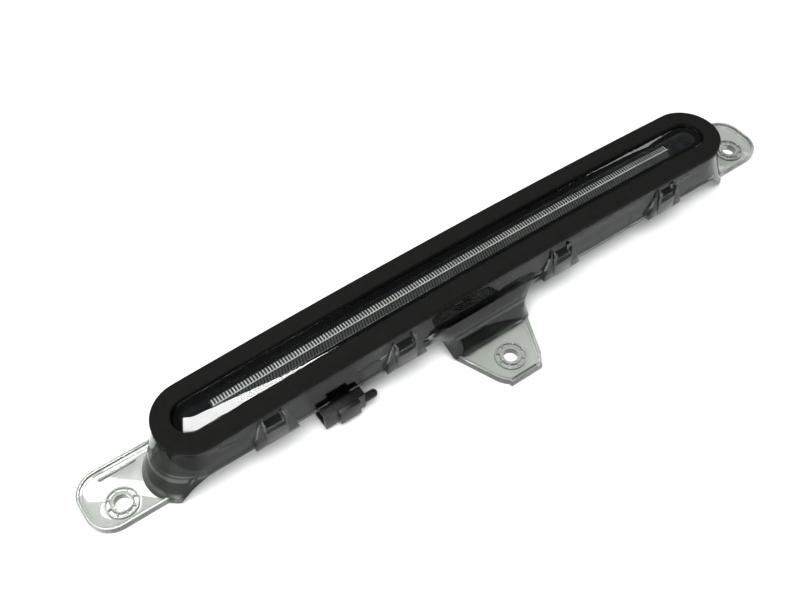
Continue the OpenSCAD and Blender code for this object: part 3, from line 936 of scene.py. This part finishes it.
        # Steep faces on the tabs take the rim copy, a painted shade.
        if abs(face.normal.z) < 0.93 and spot.z > 0.3 * MM:
            return Zone.EDGE
        return Zone.TAB


@dataclass
class SoftNode:
    """A carried-over CAD solid whose edges are rounded."""

    node: str
    name: str
    slot: str
    finish: Moulded
    width: float = 0.3 * MM

    def build(self, finishes: Finishes) -> bpy.types.Object:
        """Merge a copy of the node's mesh, round its edges and dress it."""
        bm = bmesh.new()
        bm.from_mesh(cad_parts[self.node].data)
        bmesh.ops.remove_doubles(bm, verts=bm.verts, dist=1e-6)
        bmesh.ops.dissolve_limit(bm, angle_limit=math.radians(1.0), verts=bm.verts, edges=bm.edges)
        bevel_sharp(bm, self.width, 2, 30)
        piece = to_object(bm, self.name)
        dress(piece, finishes.get(self.finish))
        return put(piece, self.slot, self.node)


@dataclass
class GuideBar:
    """The light guide: a bar with a row of prism teeth, a slanted row and beads between them; the upright
    teeth and beads carry painted highlight, the slanted row, the faces that look along the bar and the bar
    itself carry painted shade.
    """

    lamp: Lamp
    pitch: float = 1.4 * MM
    row_w: float = 2.9 * MM

    def build(self, finishes: Finishes) -> bpy.types.Object:
        """Make the bar, its two rows and its beads, as one piece."""
        low, high = (Vector(v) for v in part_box("light_guide"))
        lamp = self.lamp
        top = high.z
        steps = 48
        bm = bmesh.new()
        bmesh.ops.create_cube(bm, size=1.0)
        base_top = top - 0.9 * MM
        thick = 5.0 * MM
        bmesh.ops.scale(bm, vec=(high.x - low.x, high.y - low.y, thick), verts=bm.verts)
        bmesh.ops.translate(bm, vec=(0, lamp.y, base_top - thick / 2), verts=bm.verts)
        long_edges = [e for e in bm.edges if abs(e.verts[0].co.x - e.verts[1].co.x) > 0.1]
        bmesh.ops.subdivide_edges(bm, edges=long_edges, cuts=steps, use_grid_fill=True)
        far, near = high.y, low.y
        self.teeth(bm, low.x, high.x, far - self.row_w + 0.2 * MM, far - 0.35 * MM, base_top, top)
        self.slants(bm, low.x, high.x, near + 2.3 * MM, far - self.row_w - 0.5 * MM, base_top,
                    top - 0.35 * MM)
        for y in (far - self.row_w - 0.2 * MM, near + 1.25 * MM, near + 1.85 * MM):
            self.bead(bm, low.x, high.x, y, top - 0.3 * MM)
        lamp.bend(bm)
        bmesh.ops.recalc_face_normals(bm, faces=bm.faces)
        piece = to_object(bm, "light_guide_bar")
        piece.data.shade_flat()
        dress(piece, finishes.get(GUIDE))
        for finish in (GUIDE_LIT, GUIDE_DIM):
            piece.data.materials.append(finishes.get(finish))
        for face in piece.data.polygons:
            spot = face.center
            # Faces above the bar take painted light: painted highlight on the upright teeth and beads,
            # painted shade on the slanted row and on faces that look along the bar.
            if spot.z > base_top - lamp.bow(spot.x) + 0.02 * MM:
                slanted = near + 2.2 * MM < spot.y < far - self.row_w - 0.45 * MM
                face.material_index = 2 if slanted or abs(face.normal.x) > 0.9 else 1
        return put(piece, "guide_clear", "light_guide")

    def teeth(self, bm: bmesh.types.BMesh, x0: float, x1: float, y0: float, y1: float, z0: float,
              z1: float) -> None:
        """A row of upright prism teeth."""
        count = int((x1 - x0) / self.pitch)
        for i in range(count):
            x = x0 + (i + 0.5) * self.pitch
            made = bmesh.ops.create_cube(bm, size=1.0)["verts"]
            bmesh.ops.scale(bm, vec=(self.pitch * 0.5, y1 - y0, z1 - z0 + 0.1 * MM), verts=made)
            bmesh.ops.translate(bm, vec=(x, (y0 + y1) / 2, (z0 + z1) / 2 - 0.05 * MM), verts=made)
            for vert in made:
                if vert.co.z > (z0 + z1) / 2:
                    vert.co.x += 0.18 * MM
                    if vert.co.x > x:
                        vert.co.z -= 0.45 * MM

    def slants(self, bm: bmesh.types.BMesh, x0: float, x1: float, y0: float, y1: float, z0: float,
              z1: float) -> None:
        """A row of slanted shallow teeth."""
        count = int((x1 - x0) / self.pitch) - 1
        for i in range(count):
            x = x0 + (i + 0.7) * self.pitch
            made = bmesh.ops.create_cube(bm, size=1.0)["verts"]
            bmesh.ops.scale(bm, vec=(self.pitch * 0.5, y1 - y0, z1 - z0 + 0.1 * MM), verts=made)
            bmesh.ops.translate(bm, vec=(x, (y0 + y1) / 2, (z0 + z1) / 2 - 0.05 * MM), verts=made)
            for vert in made:
                vert.co.x += (vert.co.y - (y0 + y1) / 2) * 0.35
                if vert.co.z > (z0 + z1) / 2 and vert.co.x > x:
                    vert.co.z -= 0.3 * MM

    def bead(self, bm: bmesh.types.BMesh, x0: float, x1: float, y: float, z: float) -> None:
        """A thin rounded rib along the bar."""
        steps = 48
        rib = prism(arc((y, z), 0.17 * MM, 0, 324, 9), Axis.X, x0, x1)
        for i in range(1, steps):
            cut = x0 + (x1 - x0) * i / steps
            bmesh.ops.bisect_plane(rib, geom=[*rib.verts, *rib.edges, *rib.faces], plane_co=(cut, 0, 0),
                                   plane_no=(1, 0, 0))
        mesh = bpy.data.meshes.new("rib")
        rib.to_mesh(mesh)
        rib.free()
        bm.from_mesh(mesh)
        bpy.data.meshes.remove(mesh)


@dataclass
class Studio:
    """The floor, the soft lights and the camera."""

    eye: tuple[float, float, float] = (-0.18451, -0.21934, 0.37836)
    look_at: tuple[float, float, float] = (-0.03367, 0.00153, 0.03)
    roll: float = -0.97
    lens: float = 46.44
    strip_turn: float = -24.0

    def floor(self) -> None:
        """A wide pale floor under the lamp."""
        bm = bmesh.new()
        bmesh.ops.create_grid(bm, x_segments=4, y_segments=4, size=4.0)
        bmesh.ops.translate(bm, vec=(0, 0, -0.2 * MM), verts=bm.verts)
        made = to_object(bm, "studio_floor")
        graph = Graph("studio_paper")
        graph.set(Base_Color=graph.blend(graph.noise(3, 2), (0.90, 0.90, 0.90), (0.92, 0.92, 0.92)),
                  Roughness=0.9, Specular_IOR_Level=0.1)
        dress(made, graph.material)

    def light(self, name: str, place: Sequence[float], target: Sequence[float], size: Point, power: float,
              turn: float = 0.0, mirror_only: bool = False) -> None:
        """One soft rectangular light.

        Args:
            name: Its name.
            place: Where it stands.
            target: What it points at.
            size: Its width and height.
            power: Its power in watts.
            turn: Its turn about its own axis in degrees.
            mirror_only: Whether it shows only in glossy reflections.
        """
        lamp = bpy.data.lights.new(name, "AREA")
        lamp.shape = "RECTANGLE"
        lamp.size, lamp.size_y = size
        lamp.energy = power
        made = bpy.data.objects.new(name, lamp)
        made.visible_transmission = made.visible_diffuse = not mirror_only
        aim = (Vector(target) - Vector(place)).to_track_quat("-Z", "Y")
        made.matrix_world = (Matrix.Translation(place) @ aim.to_matrix().to_4x4()
                             @ Matrix.Rotation(math.radians(turn), 4, "Z"))
        bpy.context.scene.collection.objects.link(made)

    def camera(self) -> None:
        """The camera, level but for a small roll."""
        data = bpy.data.cameras.new("camera")
        data.lens = self.lens
        data.clip_start = 0.01
        made = bpy.data.objects.new("camera", data)
        aim = (Vector(self.look_at) - Vector(self.eye)).to_track_quat("-Z", "Y")
        made.matrix_world = (Matrix.Translation(self.eye) @ aim.to_matrix().to_4x4()
                             @ Matrix.Rotation(math.radians(self.roll), 4, "Z"))
        bpy.context.scene.collection.objects.link(made)
        bpy.context.scene.camera = made

    def build(self) -> None:
        """Set up the whole studio."""
        self.camera()
        self.floor()
        self.light("overhead", (-0.35, -0.25, 1.5), (0, 0, 0), (1.6, 1.1), 38)
        self.light("strip", (-0.0265, 0.4756, 1.155), (-0.12, 0, 0.035), (0.44, 0.24), 7.0, self.strip_turn,
                   mirror_only=True)
        self.light("side", (-1.3, -0.9, 0.9), (0, 0, 0), (1.0, 0.8), 14)
        self.light("back", (0.9, 1.4, 0.9), (0, 0, 0), (1.2, 0.6), 9)
        world = bpy.data.worlds.new("studio_air")
        world.use_nodes = True
        world.node_tree.nodes["Background"].inputs[0].default_value = (0.9, 0.95, 1.0, 1.0)
        world.node_tree.nodes["Background"].inputs[1].default_value = 0.12
        bpy.context.scene.world = world
        bpy.context.scene.view_settings.view_transform = "Standard"


def dress_nodes(finishes: Finishes) -> None:
    """Give every carried-over CAD node its finish."""
    for name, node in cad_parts.items():
        finish = NODE_FINISH.get(TWINS.get(name, name))
        if finish is None:
            continue
        dress(node, finishes.get(finish))
        log.info("dressed %s", name)


def main() -> None:
    """Build the studio and every piece of the lamp."""
    finishes = Finishes()
    lamp = Lamp()
    Studio().build()
    Gasket(lamp).build(finishes)
    Moulding(lamp).build(finishes)
    GuideBar(lamp).build(finishes)
    SoftNode("inner_bezel", "bezel_frame", "gloss_black", BEZEL_BLACK, 0.12 * MM).build(finishes)
    SoftNode("rear_housing", "housing_tub", "housing_black", HOUSING_BLACK, 0.25 * MM).build(finishes)
    SoftNode("connector_shroud", "socket_shell", "housing_black", SOCKET_BLACK, 0.3 * MM).build(finishes)
    dress_nodes(finishes)


if __name__ == "__main__":
    main()
